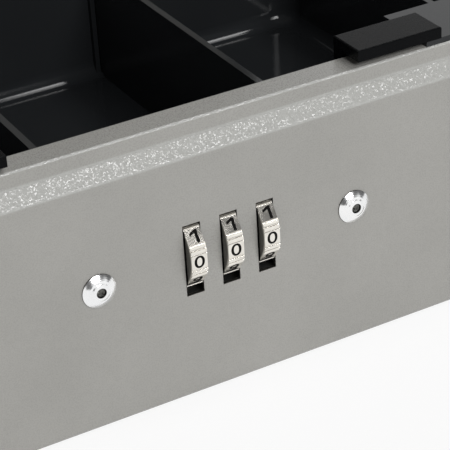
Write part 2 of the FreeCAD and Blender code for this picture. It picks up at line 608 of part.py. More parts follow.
def coin_tray():
    """Moulded coin and note tray that hangs by its flange on the rim, cut down in front for the striker."""
    body = new_body("coin_tray")
    edge = "joggle_inset + flange_setback"
    prism(body, "XY", "0", "flange_sheet", lambda s: rounded(
        s, f"{edge} - box_width / 2", f"box_width / 2 - ({edge})", edge, f"box_depth - ({edge})",
        f"corner_radius - ({edge})"))
    prism(body, "XY", "-tray_depth - tray_floor", "0",
          lambda s: rounded(s, f"-{TRAY_HALF}", TRAY_HALF, "tray_front", TRAY_BACK, "tray_corner"))
    front, back, side = "(tray_front + tray_wall)", f"({TRAY_BACK} - tray_wall)", f"({TRAY_HALF} - tray_wall)"
    web = "tray_wall / 2"
    cut(body, "XY", "-wall_drop", "flange_sheet",
        lambda s: rounded(s, f"-{side}", side, front, back, "pocket_corner"))

    def pockets(sketch):
        near, far = f"cross_wall - {web}", f"cross_wall + {web}"
        columns = [(f"-side_pocket_wall + {web}", f"side_pocket_wall - {web}", front, near),
                   (f"-{side}", f"-side_pocket_wall - {web}", front, near),
                   (f"side_pocket_wall + {web}", side, front, near),
                   (f"-{side}", f"-{web}", far, back), (web, side, far, back)]
        for ends in columns:
            rounded(sketch, *ends, "pocket_corner")

    cut(body, "XY", "-tray_depth", "-wall_drop", pockets)
    fillet(body, "floor_fillet", level("-tray_depth"))
    cut(body, "XY", "-notch_drop", "flange_sheet",
        lambda s: rectangle(s, "-tray_notch / 2", "tray_notch / 2", "0", front))

    def guides(sketch):
        gap = "divider_sheet / 2 + divider_play"
        for middle in ("-divider_spacing / 2", "divider_spacing / 2"):
            for low, high in ((f"{middle} - ({gap}) - guide_width", f"{middle} - ({gap})"),
                              (f"{middle} + {gap}", f"{middle} + {gap} + guide_width")):
                rectangle(sketch, low, high, front, f"{front} + guide_depth")
                rectangle(sketch, low, high, f"cross_wall - {web} - guide_depth", f"cross_wall - {web}")

    prism(body, "XY", "-tray_depth", "-guide_drop", guides)
    return at_tray(body)


def coin_divider(name, side):
    """Loose divider between the guides of the middle coin pocket."""
    body = new_body(name)
    near = "tray_front + tray_wall + divider_play"
    far = "cross_wall - tray_wall / 2 - divider_play"
    plate = [(f"{near} + floor_fillet", "-tray_depth"), (f"{far} - floor_fillet", "-tray_depth"),
             (far, "floor_fillet - tray_depth"), (far, "-wall_drop"),
             (f"{far} - floor_fillet", "-divider_drop"), (near, "-divider_drop"),
             (near, "floor_fillet - tray_depth")]
    prism(body, "YZ", "-divider_sheet / 2", "divider_sheet / 2", lambda s: outline(s, plate))
    return at_tray(body, f"{side} * divider_spacing / 2")


def tray_tab(name, side):
    """Lift tab on the end of the tray's flange: a plate over the rim with a leg behind it."""
    body = new_body(name)
    inner, outer = f"{side} * tab_inner", f"{side} * (tab_inner + tab_width)"
    top = "flange_sheet + tab_sheet"
    prism(body, "XY", "flange_sheet", top, lambda s: rectangle(s, inner, outer, "joggle_inset", "tab_back"))
    leg_end = f"{side} * (tray_notch / 2 - bolt_clearance)"
    prism(body, "XY", "-tab_leg_drop", "flange_sheet",
          lambda s: rectangle(s, inner, leg_end, "tab_back - tab_leg", "tab_back"))
    fillet(body, "tab_edge", level(top))
    return at_tray(body)


def bail_path(sketch, half, reach, bend):
    """A U-shaped path of two legs and a grip, joined by quarter bends."""
    runs = [((f"-{half}", "0"), (f"-{half}", f"{reach} - {bend}")),
            ((f"{bend} - {half}", reach), (f"{half} - {bend}", reach)),
            ((half, f"{reach} - {bend}"), (half, "0"))]
    for ends in runs:
        line = Part.LineSegment(*(Vector(num(x), num(y), 0) for x, y in ends))
        shape = sketch.addGeometry(line)
        for corner, (x, y) in zip((START, END), ends):
            fix_point(sketch, shape, corner, x, y)
    for first, sign in ((0, -1), (1, 1)):
        centre = Vector(sign * num(f"{half} - {bend}"), num(f"{reach} - {bend}"), 0)
        start = math.pi / 2 if sign < 0 else 0.0
        turn = Part.ArcOfCircle(Part.Circle(centre, Vector(0, 0, 1), num(bend)), start, start + math.pi / 2)
        shape = sketch.addGeometry(turn)
        sketch.addConstraint(Sketcher.Constraint("Coincident", shape, END, first, END))
        sketch.addConstraint(Sketcher.Constraint("Coincident", shape, START, first + 1, START))
        rule = sketch.addConstraint(Sketcher.Constraint("Radius", shape, num(bend)))
        bind(sketch, f"Constraints[{rule}]", bend)


def lid_handle():
    """Bail handle of bent rod, hanging from its two brackets."""
    body = new_body("lid_handle")
    half = "handle_width / 2"
    path = new_sketch(body, "XY", "0")
    bail_path(path, half, "handle_reach", "handle_bend")
    section = new_sketch(body, "XZ", "0")
    circle(section, f"-{half}", "0", "handle_rod")
    pipe = body.newObject("PartDesign::AdditivePipe", "lid_handle_rod")
    pipe.Profile = section
    pipe.Spine = (path, [""])
    settle(body, pipe, True)
    for low, high in ((f"-{half} - handle_rod / 2 - handle_pivot_length", f"handle_rod / 2 - {half}"),
                      (f"{half} - handle_rod / 2", f"{half} + handle_rod / 2 + handle_pivot_length")):
        prism(body, "YZ", low, high, lambda s: circle(s, "0", "0", "handle_rod"))
    pivot = Placement(Vector(0, num(PIVOT_Y), num(PIVOT_Z)), Rotation())
    body.Placement = LID_SWING.multiply(pivot).multiply(HANDLE_HANG)
    return body


def handle_bracket(name, side):
    """Welded bracket in the lid's well, with an ear for one end of the handle."""
    body = new_body(name)
    near = "handle_width / 2 + handle_rod / 2 + bracket_gap"
    far = f"{near} + bracket_sheet"
    crown = "(handle_rod / 2 + bracket_crown)"
    ear = sorted((f"{side} * ({near})", f"{side} * ({far})"), key=num)
    foot = (f"{side} * ({near})", f"{side} * ({near} + bracket_foot)")
    half = "bracket_width / 2"
    prism(body, "YZ", *ear, lambda s: rectangle(s, f"-{half}", half, "-pivot_height", crown))
    prism(body, "XY", "-pivot_height", "-pivot_height + bracket_sheet / 2",
          lambda s: rectangle(s, *foot, f"-{half}", half))
    cut(body, "YZ", *ear, lambda s: circle(s, "0", "0", "handle_rod + 2 * pivot_clearance"))
    top = num(crown)

    def corner(edge):
        box = edge.BoundBox
        return abs(box.ZMin - top) < TINY and box.ZLength < TINY and box.YLength < TINY

    fillet(body, "bracket_round", corner)
    place(body, "0", PIVOT_Y, PIVOT_Z, LID_SWING)
    return body


def build():
    """Every piece of the cash box, in the order of assembly."""
    pieces = [box_body(), lid_shell()]
    for word, side in (("left", -1), ("right", 1)):
        pieces += [body_leaf(f"hinge_body_leaf_{word}", side), lid_leaf(f"hinge_lid_leaf_{word}", side),
                   hinge_pin(f"hinge_pin_{word}", side), handle_bracket(f"handle_bracket_{word}", side),
                   coin_divider(f"coin_divider_{word}", side), tray_tab(f"tray_tab_{word}", side)]
    for word, index in (("left", -1), ("middle", 0), ("right", 1)):
        pieces += [dial(f"dial_{word}", index), dial_cam(f"dial_cam_{word}", index)]
    pieces += [lock_case(), lock_rivets(), dial_spindle(), detent_spring(), lock_bolt(), bolt_spring(),
               lid_striker(), coin_tray(), lid_handle()]
    DOC.recompute()
    return pieces


def check(pieces):
    """Stops if anything failed to build, before a file is written."""
    failed = [thing.Name for thing in DOC.Objects if {"Invalid", "Error"} & set(thing.State)]
    bad = [piece.Label for piece in pieces if piece.Shape.isNull() or not piece.Shape.isValid()]
    if failed or bad:
        raise ValueError(f"failed: {failed}, no valid shape: {bad}")


def export(pieces):
    os.makedirs("parts", exist_ok=True)
    for piece in pieces:
        piece.Shape.exportStep(f"parts/{piece.Label}.step")
        print(piece.Label, len(piece.Shape.Solids), round(piece.Shape.Volume, 1))


parts = build()
check(parts)
export(parts)
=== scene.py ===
"""Looks of the cash box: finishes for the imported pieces, dial numbers, rivet stems and weld spots."""

import math

import bmesh
import bpy
from mathutils import Euler, Matrix, Vector
from mathutils.noise import noise as noise_at


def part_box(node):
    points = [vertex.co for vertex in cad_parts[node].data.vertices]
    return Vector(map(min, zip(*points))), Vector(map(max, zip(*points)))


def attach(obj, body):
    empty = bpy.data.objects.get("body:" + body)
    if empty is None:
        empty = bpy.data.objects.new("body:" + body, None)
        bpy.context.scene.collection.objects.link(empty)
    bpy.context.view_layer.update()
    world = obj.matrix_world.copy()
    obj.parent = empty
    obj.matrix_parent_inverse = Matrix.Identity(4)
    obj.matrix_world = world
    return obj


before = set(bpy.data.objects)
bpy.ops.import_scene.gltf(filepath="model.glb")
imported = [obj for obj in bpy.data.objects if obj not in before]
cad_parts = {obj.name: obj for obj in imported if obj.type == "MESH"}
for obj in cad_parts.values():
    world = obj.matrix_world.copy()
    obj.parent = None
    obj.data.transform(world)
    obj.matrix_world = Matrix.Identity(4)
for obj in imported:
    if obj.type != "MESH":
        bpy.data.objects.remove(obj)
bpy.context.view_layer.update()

MM = 0.001
PICTURE = 450

# Camera, fitted to the photograph in the frame of the part.
CAMERA_PLACE = Vector((-0.1654, -0.4481, 0.2549))
CAMERA_TURN = 27.48
CAMERA_TILT = 29.88
CAMERA_ROLL = -3.57
FOCAL_PIXELS = 1902.7
SENSOR = 36.0
CLIP_START = 0.01

# Lock: its dials, the numbers on them, the bore of its rivets, and the dial slots in the front wall.
DIALS = ("left", "middle", "right")
DIGITS = 10
DIGIT_HEIGHT = 3.1 * MM
DIGIT_SPREAD = 1.32
DIGIT_STROKE = 0.008
ONE_OUTLINE = [(0.30, 0.0), (0.43, 0.0), (0.43, 0.70), (0.32, 0.70),
               (0.09, 0.54), (0.09, 0.40), (0.30, 0.53)]
TEXT_STEPS = 6
DIGIT_PROUD = 0.03 * MM
FACET_DEPTH = 0.3 * MM
RIVET_BORE = 1.2 * MM
SLOT_AREA = (16.0 * MM, 11.0 * MM)
SLOT_DEPTH = 4.0 * MM
WALL_FACE = (0.1 * MM, 0.2 * MM)

# Noise in all finishes: the middle part of its range that is used, and how many coarse waves and patches
# there are to each fine cell or drawn line.
NOISE_SPREAD = (0.3, 0.7)
COARSE_SHARE = 0.35
COARSE_CELLS = 0.22
PATCH_CELLS = 0.012
LINE_STRETCH = (0.03, 1.0, 1.0)
DULL_CELLS = 0.05
DULL_SPREAD = (0.35, 0.7)

# Paint of the box: cells and depth of its peel, the share of coarse waves, and the tone of the slots' cut
# edges and of the wall's inside round them, partly bare steel and partly painted shade.
PEEL_CELLS = 2600.0
PEEL_DEPTH = 0.03 * MM
PEEL_COARSE = 0.2
BOX_ROUGHNESS = (0.22, 0.34)
SLOT_EDGE_AND_SHADE_TONE = (0.016, 0.015, 0.013, 1.0)

# Grains in the box's paint that catch the light: cells a metre, and their lean on walls and on the bevel.
# The bevel's foot and top and the rim's rounded edge are measured down from the rim.
FLAKE_CELLS = 3300.0
FLAKE_FLAT = 0.05
FLAKE_BEVEL = 0.42
BEVEL_FOOT = 7.6 * MM
BEVEL_TOP = 3.9 * MM
BEVEL_FADE = 0.4 * MM
RIM_EDGE = 0.5 * MM
RIM_FLAT = 0.02 * MM
# Lighter grey of the bevel and the rim's rounded edge: a painted highlight where the light falls on them.
BEVEL_HIGHLIGHT_GREY = (0.400, 0.400, 0.383, 1.0)
BEVEL_SHINE = 0.62

# Rivet heads: pitch and depth of the turned rings, the crown that the bump adds, and a groove round the bore.
# The groove and the head's edge are shares of the head's radius; the bore's edge is a share of the bore's.
RING_PITCH = 0.45 * MM
RING_DEPTH = 0.004 * MM
RIVET_CROWN = 0.34 * MM
GROOVE_PLACE = 0.56
GROOVE_WIDTH = 0.09
GROOVE_DEPTH = 0.05 * MM
# Painted shade inside the bores and a painted contact shadow round the head's edge: their tone and where each
# fades in.
RIVET_SHADE_TONE = (0.10, 0.098, 0.09, 1.0)
BORE_EDGE = (0.96, 1.06)
HEAD_EDGE_SHADOW = (0.985, 0.998)

# Broken stem in a rivet: radius and depth behind the top of the head, from its foot to its middle.
STEM_PROFILE = ((1.17 * MM, 2.5 * MM), (1.17 * MM, 0.75 * MM), (1.0 * MM, 0.55 * MM), (0.7 * MM, 0.6 * MM),
                (0.35 * MM, 0.5 * MM))
STEM_SIDES = 20
STEM_ROUGH = 0.22 * MM
STEM_GRAIN = 0.5 * MM

# Spot welds on the hinge leaves, the handle's brackets and the striker.
LEAF_SHEET = 1.2 * MM
LEAF_SPOT_PITCH = 13.0 * MM
LEAF_SPOT_EDGE = 4.8 * MM
BRACKET_FOOT = 0.7 * MM
BRACKET_SPOT_EDGE = 4.3 * MM
SPOT_RADIUS = 1.9 * MM
SPOT_RING = 0.22 * MM
SPOT_LIFT = 0.3
SPOT_SIDES = 20
BEAD_SIDES = 6
STRIKER_SPOTS = (0.12, 0.38, 0.62, 0.88)

WHITE = (1.0, 1.0, 1.0, 1.0)

# Coats and mouldings: darkest and lightest tone, roughness, cells a metre and depth of the grain.
GREYS = ((0.303, 0.298, 0.280, 1.0), (0.333, 0.327, 0.308, 1.0))
COATS = {
    "grey_enamel": (*GREYS, (0.34, 0.48), PEEL_CELLS, PEEL_DEPTH),
    "black_moulding": ((0.0125, 0.0137, 0.0150, 1.0), (0.0185, 0.0200, 0.0216, 1.0),
                       (0.08, 0.13), 900.0, 0.008 * MM),
    "black_satin": ((0.0024, 0.0027, 0.0031, 1.0), (0.0034, 0.0038, 0.0043, 1.0),
                    (0.22, 0.32), 2200.0, 0.012 * MM),
    "dial_ink": ((0.004, 0.004, 0.004, 1.0), (0.008, 0.0075, 0.007, 1.0),
                 (0.6, 0.8), 6000.0, 0.01 * MM),
}
# Specular level of the coats that mirror less than paint does.
MIRRORING = {"black_moulding": 0.25, "black_satin": 0.05, "dial_ink": 0.05}

# Metals: bright and dull tone, roughness, drawn lines a metre and their depth.
METALS = {
    "zinc_plate": ((0.62, 0.63, 0.64, 1.0), (0.42, 0.43, 0.45, 1.0), (0.26, 0.46), 2500.0, 0.02 * MM),
    "bright_rod": ((0.80, 0.80, 0.81, 1.0), (0.70, 0.70, 0.72, 1.0), (0.07, 0.16), 2500.0, 0.004 * MM),
    "lock_steel": ((0.45, 0.45, 0.44, 1.0), (0.30, 0.30, 0.29, 1.0), (0.32, 0.5), 3000.0, 0.02 * MM),
    "stem_steel": ((0.13, 0.13, 0.12, 1.0), (0.08, 0.08, 0.075, 1.0), (0.35, 0.5), 3000.0, 0.02 * MM),
    "turned_brass": ((0.72, 0.53, 0.25, 1.0), (0.50, 0.36, 0.16, 1.0), (0.22, 0.4), 3000.0, 0.01 * MM),
}

# Dials and rivets: bright and dull tone, roughness and drawn lines, and the painted shade in the dials'
# grooves and on their sides.
DIAL_PLATE = ((0.86, 0.83, 0.77, 1.0), (0.74, 0.71, 0.65, 1.0))
DIAL_ROUGHNESS = (0.12, 0.2)
DIAL_LINES = 5000.0
DIAL_LINE_DEPTH = 0.008 * MM
# Painted shade of the dials: its tone, and the depths under the rim where it is full and where it ends.
DIAL_SHADE_TONE = (0.10, 0.095, 0.085, 1.0)
DIAL_SHADE_BAND = (0.9 * MM, 0.45 * MM)
RIVET_PLATE = ((0.95, 0.95, 0.94, 1.0), (0.86, 0.87, 0.88, 1.0))
RIVET_ROUGHNESS = (0.13, 0.22)
RIVET_LINES = 2500.0

# Studio: a pale horizon under a dark ceiling, a pale backdrop behind, and gaps in the mirrored horizon.
# Bands are the height of a ray's direction; each gap has a turn and an outer and inner half width in degrees.
HORIZON_BAND = (0.12, 0.4)
HORIZON_LIGHT = 0.55
MIRRORED_BAND = (0.22, 0.5)
CEILING_LIGHT = 0.06
MIRRORED_CEILING = 0.12
BACKDROP_SIDE = (0.15, 0.4)
BACKDROP_BAND = (0.55, 0.8)
BACKDROP_LIGHT = 0.95
GAPS = ((-29.0, 15.0, 8.0), (70.0, 18.0, 10.0))
FLOOR_GLOW = 0.86
FLOOR_TONE = (0.86, 0.86, 0.86, 1.0)
FLOOR_ROUGHNESS = 0.9
FLOOR_HALF = 3.0
LAMP_AIM = Vector((0.0, -0.12, 0.05))
LAMPS = {
    "key": {"turn": 4.0, "tilt": 37.0, "distance": 1.5, "width": 0.74, "height": 0.62, "power": 17.0},
    "overhead": {"turn": 88.0, "tilt": 64.0, "distance": 1.4, "width": 0.36, "height": 0.36, "power": 4.6},
}


def node_middle(name):
    low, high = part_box(name)
    return (Vector(low) + Vector(high)) / 2


def add(tree, kind, sockets=None, **settings):
    """A node with its settings, its values and its incoming links."""
    node = tree.nodes.new(kind)
    for name, value in settings.items():
        setattr(node, name, value)
    for name, value in (sockets or {}).items():
        if isinstance(value, bpy.types.NodeSocket):
            tree.links.new(value, node.inputs[name])
        else:
            node.inputs[name].default_value = value
    return node


def math_node(tree, operation, *values):
    return add(tree, "ShaderNodeMath", dict(enumerate(values)), operation=operation).outputs[0]


def vector_node(tree, operation, *values):
    return add(tree, "ShaderNodeVectorMath", dict(enumerate(values)), operation=operation).outputs


def span(tree, value, low, high, to_low=0.0, to_high=1.0):
    """A value carried from one range to another, held at the ends."""
    sockets = {"Value": value, "From Min": low, "From Max": high, "To Min": to_low, "To Max": to_high}
    return add(tree, "ShaderNodeMapRange", sockets).outputs["Result"]


def mix_colour(tree, share, first, second):
    node = add(tree, "ShaderNodeMix", data_type="RGBA")
    for name, value in (("Factor_Float", share), ("A_Color", first), ("B_Color", second)):
        socket = next(s for s in node.inputs if s.identifier == name)
        if isinstance(value, bpy.types.NodeSocket):
            tree.links.new(value, socket)
        else:
            socket.default_value = value
    return next(s for s in node.outputs if s.identifier == "Result_Color")


def noise(tree, place, scale, detail=2.0, roughness=0.5):
    sockets = {"Vector": place, "Scale": scale, "Detail": detail, "Roughness": roughness}
    return add(tree, "ShaderNodeTexNoise", sockets).outputs["Fac"]


def new_group(name, inputs, outputs):
    """A shader group with named sockets, its input node and its output node."""
    group = bpy.data.node_groups.new(name, "ShaderNodeTree")
    for label, kind, value in inputs:
        socket = group.interface.new_socket(label, in_out="INPUT", socket_type=kind)
        if value is not None:
            socket.default_value = value
    for label, kind in outputs:
        group.interface.new_socket(label, in_out="OUTPUT", socket_type=kind)
    return group, group.nodes.new("NodeGroupInput").outputs, group.nodes.new("NodeGroupOutput").inputs


def grain_group():
    """Fine grain of a coat or a moulding: a height and an uneven tone."""
    group, given, result = new_group(
        "coat_grain",
        [("Place", "NodeSocketVector", None), ("Cells", "NodeSocketFloat", 1500.0),
         ("Coarse Share", "NodeSocketFloat", COARSE_SHARE)],
        [("Height", "NodeSocketFloat"), ("Tone", "NodeSocketFloat")])
    fine = noise(group, given["Place"], given["Cells"], 3.0, 0.6)
    coarse = noise(group, given["Place"], math_node(group, "MULTIPLY", given["Cells"], COARSE_CELLS), 2.0)
    share = given["Coarse Share"]
    height = math_node(group, "ADD", math_node(group, "MULTIPLY", coarse, share),
                       math_node(group, "MULTIPLY", fine, math_node(group, "SUBTRACT", 1.0, share)))
    patch_cells = math_node(group, "MULTIPLY", given["Cells"], PATCH_CELLS)
    patches = noise(group, given["Place"], patch_cells, 3.0, 0.6)
    group.links.new(height, result["Height"])
    group.links.new(patches, result["Tone"])
    return group


def brush_group():
    """Fine lines of a drawn or turned metal, along the X axis, and dull patches of handling."""
    group, given, result = new_group(
        "metal_lines",
        [("Place", "NodeSocketVector", None), ("Lines", "NodeSocketFloat", 4000.0)],
        [("Height", "NodeSocketFloat"), ("Dull", "NodeSocketFloat")])
    stretched = vector_node(group, "MULTIPLY", given["Place"], LINE_STRETCH)["Vector"]
    lines = noise(group, stretched, given["Lines"], 2.0)
    patches = noise(group, given["Place"], math_node(group, "MULTIPLY", given["Lines"], DULL_CELLS), 3.0)
    group.links.new(lines, result["Height"])
    group.links.new(span(group, patches, *DULL_SPREAD), result["Dull"])
    return group


def axle_group():
    """Distance from a line along X through a point, in metres."""
    group, given, result = new_group(
        "axle_distance",
        [("Place", "NodeSocketVector", None), ("Middle", "NodeSocketVector", None)],
        [("Distance", "NodeSocketFloat")])
    gone = vector_node(group, "SUBTRACT", given["Place"], given["Middle"])["Vector"]
    flat = vector_node(group, "MULTIPLY", gone, (0.0, 1.0, 1.0))["Vector"]
    group.links.new(vector_node(group, "LENGTH", flat)["Value"], result["Distance"])
    return group


def ring_group():
    """Turned rings on two round heads that sit side by side and face along Y."""
    group, given, result = new_group(
        "turned_rings",
        [("Place", "NodeSocketVector", None), ("Middle", "NodeSocketVector", None),
         ("Half Span", "NodeSocketFloat", 0.03), ("Pitch", "NodeSocketFloat", 0.0005)],
        [("Height", "NodeSocketFloat"), ("Distance", "NodeSocketFloat")])
    gone = vector_node(group, "SUBTRACT", given["Place"], given["Middle"])["Vector"]
    parts = add(group, "ShaderNodeSeparateXYZ", {0: gone}).outputs
    aside = math_node(group, "SUBTRACT", math_node(group, "ABSOLUTE", parts["X"]), given["Half Span"])
    flat = add(group, "ShaderNodeCombineXYZ", {"X": aside, "Z": parts["Z"]}).outputs["Vector"]
    distance = vector_node(group, "LENGTH", flat)["Value"]
    turns = math_node(group, "MULTIPLY", math_node(group, "DIVIDE", distance, given["Pitch"]), math.tau)
    wave = math_node(group, "SINE", turns)
    uneven = noise(group, given["Place"], math_node(group, "DIVIDE", 0.6, given["Pitch"]), 2.0)
    group.links.new(math_node(group, "MULTIPLY", wave, uneven), result["Height"])
    group.links.new(distance, result["Distance"])
    return group


def flake_group():
    """Fine grains that each lean their own way, as a normal."""
    group, given, result = new_group(
        "paint_flakes",
        [("Place", "NodeSocketVector", None), ("Cells", "NodeSocketFloat", 2000.0),
         ("Lean", "NodeSocketFloat", 0.1)],
        [("Normal", "NodeSocketVector")])
    cells = add(group, "ShaderNodeTexVoronoi", {"Vector": given["Place"], "Scale": given["Cells"]})
    aside = vector_node(group, "SUBTRACT", cells.outputs["Color"], (0.5, 0.5, 0.5))["Vector"]
    scaled = add(group, "ShaderNodeVectorMath", {0: aside, "Scale": given["Lean"]}, operation="SCALE")
    facing = add(group, "ShaderNodeNewGeometry").outputs["Normal"]
    leaning = vector_node(group, "ADD", facing, scaled.outputs["Vector"])["Vector"]
    group.links.new(vector_node(group, "NORMALIZE", leaning)["Vector"], result["Normal"])
    return group


GRAIN = grain_group()
BRUSH = brush_group()
AXLE = axle_group()
RINGS = ring_group()
FLAKES = flake_group()


def shader_of(material):
    return next(n for n in material.node_tree.nodes if n.type == "BSDF_PRINCIPLED")


def new_material(name):
    """A plain material with its tree and its shader."""
    material = bpy.data.materials.new(name)
    material.use_nodes = True
    return material, material.node_tree, shader_of(material)


def object_place(tree):
    return add(tree, "ShaderNodeTexCoord").outputs["Object"]


def use_group(tree, group, **sockets):
    node = tree.nodes.new("ShaderNodeGroup")
    node.node_tree = group
    for name, value in sockets.items():
        socket = node.inputs[name.replace("_", " ")]
        if isinstance(value, bpy.types.NodeSocket):
            tree.links.new(value, socket)
        else:
            socket.default_value = value
    return node.outputs


def bump(tree, shader, height, depth):
    node = add(tree, "ShaderNodeBump", {"Height": height, "Distance": depth, "Strength": 1.0})
    tree.links.new(node.outputs["Normal"], shader.inputs["Normal"])
    return node


def coat_material(name):
    """Painted or moulded surface with an uneven tone and a fine grain."""
    dark, light, roughness, cells, depth = COATS[name]
    material, tree, shader = new_material(name)
    grain = use_group(tree, GRAIN, Place=object_place(tree), Cells=cells, Coarse_Share=COARSE_SHARE)
    share = span(tree, grain["Tone"], *NOISE_SPREAD)
    tree.links.new(mix_colour(tree, share, dark, light), shader.inputs["Base Color"])
    rough = span(tree, grain["Height"], *NOISE_SPREAD, *roughness)
    tree.links.new(rough, shader.inputs["Roughness"])
    bump(tree, shader, grain["Height"], depth)
    if name in MIRRORING:
        shader.inputs["Specular IOR Level"].default_value = MIRRORING[name]
    return material


def box_paint():
    """Grey enamel of the box: glitter and a painted highlight along the bevel and the rim's edge, and bare
    cut edges with painted shade in the dial slots.
    """
    material, tree, shader = new_material("grey_enamel_box")
    place = object_place(tree)
    grain = use_group(tree, GRAIN, Place=place, Cells=PEEL_CELLS, Coarse_Share=PEEL_COARSE)
    flat = mix_colour(tree, span(tree, grain["Tone"], *NOISE_SPREAD), *GREYS)
    parts = add(tree, "ShaderNodeSeparateXYZ", {0: place}).outputs
    low, high = (Vector(corner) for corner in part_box("box_body"))
    drop = math_node(tree, "SUBTRACT", high.z, parts["Z"])
    band = math_node(tree, "MULTIPLY", span(tree, drop, BEVEL_TOP - BEVEL_FADE, BEVEL_TOP),
                     span(tree, drop, BEVEL_FOOT, BEVEL_FOOT + BEVEL_FADE, 1.0, 0.0))
    edge = math_node(tree, "MULTIPLY", math_node(tree, "GREATER_THAN", drop, RIM_FLAT),
                     math_node(tree, "LESS_THAN", drop, RIM_EDGE))
    glitter_and_highlight = math_node(tree, "MAXIMUM", band, edge)
    # Painted highlight: the bevel and the rim's edge take a lighter grey.
    plain = mix_colour(tree, glitter_and_highlight, flat, BEVEL_HIGHLIGHT_GREY)
    middle = node_middle("dial_middle")
    aside = math_node(tree, "ABSOLUTE", math_node(tree, "SUBTRACT", parts["X"], middle.x))
    above = math_node(tree, "ABSOLUTE", math_node(tree, "SUBTRACT", parts["Z"], middle.z))
    # Painted shade as well as bare steel: the slots' cut edges and the wall's inside round the slots are
    # darkened.
    inside = span(tree, parts["Y"], *(low.y + depth for depth in WALL_FACE))
    by_slots = math_node(tree, "MULTIPLY", math_node(tree, "LESS_THAN", aside, SLOT_AREA[0]),
                         math_node(tree, "LESS_THAN", above, SLOT_AREA[1]))
    in_wall = math_node(tree, "LESS_THAN", parts["Y"], low.y + SLOT_DEPTH)
    bare_edge_and_shade = math_node(tree, "MULTIPLY", math_node(tree, "MULTIPLY", inside, in_wall), by_slots)
    tree.links.new(mix_colour(tree, bare_edge_and_shade, plain, SLOT_EDGE_AND_SHADE_TONE), shader.inputs["Base Color"])
    plain_rough = span(tree, grain["Height"], *NOISE_SPREAD, *BOX_ROUGHNESS)
    shine = span(tree, glitter_and_highlight, 0.0, 1.0, 1.0, BEVEL_SHINE)
    tree.links.new(math_node(tree, "MULTIPLY", plain_rough, shine), shader.inputs["Roughness"])
    lean = span(tree, glitter_and_highlight, 0.0, 1.0, FLAKE_FLAT, FLAKE_BEVEL)
    flakes = use_group(tree, FLAKES, Place=place, Cells=FLAKE_CELLS, Lean=lean)
    peel = bump(tree, shader, grain["Height"], PEEL_DEPTH)
    tree.links.new(flakes["Normal"], peel.inputs["Normal"])
    return material


def metal_material(name):
    """Bare or plated metal with drawn lines and dull patches."""
    bright, dull, roughness, lines, depth = METALS[name]
    material, tree, shader = new_material(name)
    shader.inputs["Metallic"].default_value = 1.0
    brush = use_group(tree, BRUSH, Place=object_place(tree), Lines=lines)
    tree.links.new(mix_colour(tree, brush["Dull"], bright, dull), shader.inputs["Base Color"])
    tree.links.new(span(tree, brush["Dull"], 0.0, 1.0, *roughness), shader.inputs["Roughness"])
    bump(tree, shader, brush["Height"], depth)
    return material


def dial_material(name, middle, radius):
    """Plated number wheel, with painted shade in its grooves and on its sides."""
    material, tree, shader = new_material(name)
    place = object_place(tree)
    shader.inputs["Metallic"].default_value = 1.0
    brush = use_group(tree, BRUSH, Place=place, Lines=DIAL_LINES)
    axle = use_group(tree, AXLE, Place=place, Middle=middle)
    # Painted shade towards the axle, on the wheel's sides.
    rim = span(tree, axle["Distance"], *(radius - depth for depth in DIAL_SHADE_BAND))
    plated = mix_colour(tree, brush["Dull"], *DIAL_PLATE)
    tree.links.new(mix_colour(tree, rim, DIAL_SHADE_TONE, plated), shader.inputs["Base Color"])
    tree.links.new(span(tree, brush["Dull"], 0.0, 1.0, *DIAL_ROUGHNESS), shader.inputs["Roughness"])
    bump(tree, shader, brush["Height"], DIAL_LINE_DEPTH)
    return material


def rivet_material():
    """Bright rivet heads with turned rings, with painted shade inside their bores and a painted contact
    shadow round the head's edge.
    """
    material, tree, shader = new_material("rivet_metal")
    place = object_place(tree)
    shader.inputs["Metallic"].default_value = 1.0
    low, high = (Vector(corner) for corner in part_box("lock_rivets"))
    head = (high.z - low.z) / 2
    half_span = (high.x - low.x) / 2 - head
    middle = (low + high) / 2
    rings = use_group(tree, RINGS, Place=place, Middle=middle, Half_Span=half_span, Pitch=RING_PITCH)
    brush = use_group(tree, BRUSH, Place=place, Lines=RIVET_LINES)
    bright = mix_colour(tree, brush["Dull"], *RIVET_PLATE)
    # Painted shade in the bore and a painted contact shadow at the head's edge.
    outside = span(tree, rings["Distance"], *(share * RIVET_BORE for share in BORE_EDGE))
    clear_of_edge_shadow = span(tree, rings["Distance"], *(share * head for share in HEAD_EDGE_SHADOW), 1.0, 0.0)
    shown = math_node(tree, "MULTIPLY", outside, clear_of_edge_shadow)
    tree.links.new(mix_colour(tree, shown, RIVET_SHADE_TONE, bright), shader.inputs["Base Color"])
    tree.links.new(span(tree, brush["Dull"], 0.0, 1.0, *RIVET_ROUGHNESS), shader.inputs["Roughness"])
    from_middle = math_node(tree, "DIVIDE", rings["Distance"], head)
    squared = math_node(tree, "MULTIPLY", from_middle, from_middle)
    crown = math_node(tree, "MULTIPLY", squared, -RIVET_CROWN / RING_DEPTH)
    off = math_node(tree, "ABSOLUTE", math_node(tree, "SUBTRACT", from_middle, GROOVE_PLACE))
    groove = span(tree, off, 0.0, GROOVE_WIDTH, -GROOVE_DEPTH / RING_DEPTH, 0.0)
    form = math_node(tree, "ADD", crown, groove)
    bump(tree, shader, math_node(tree, "ADD", rings["Height"], form), RING_DEPTH)
    return material


def paint_nodes(material, *names):
    for name in names:
        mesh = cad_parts[name].data
        mesh.materials.clear()
        mesh.materials.append(material)


def both(stem):
    return [f"{stem}_{side}" for side in ("left", "right")]


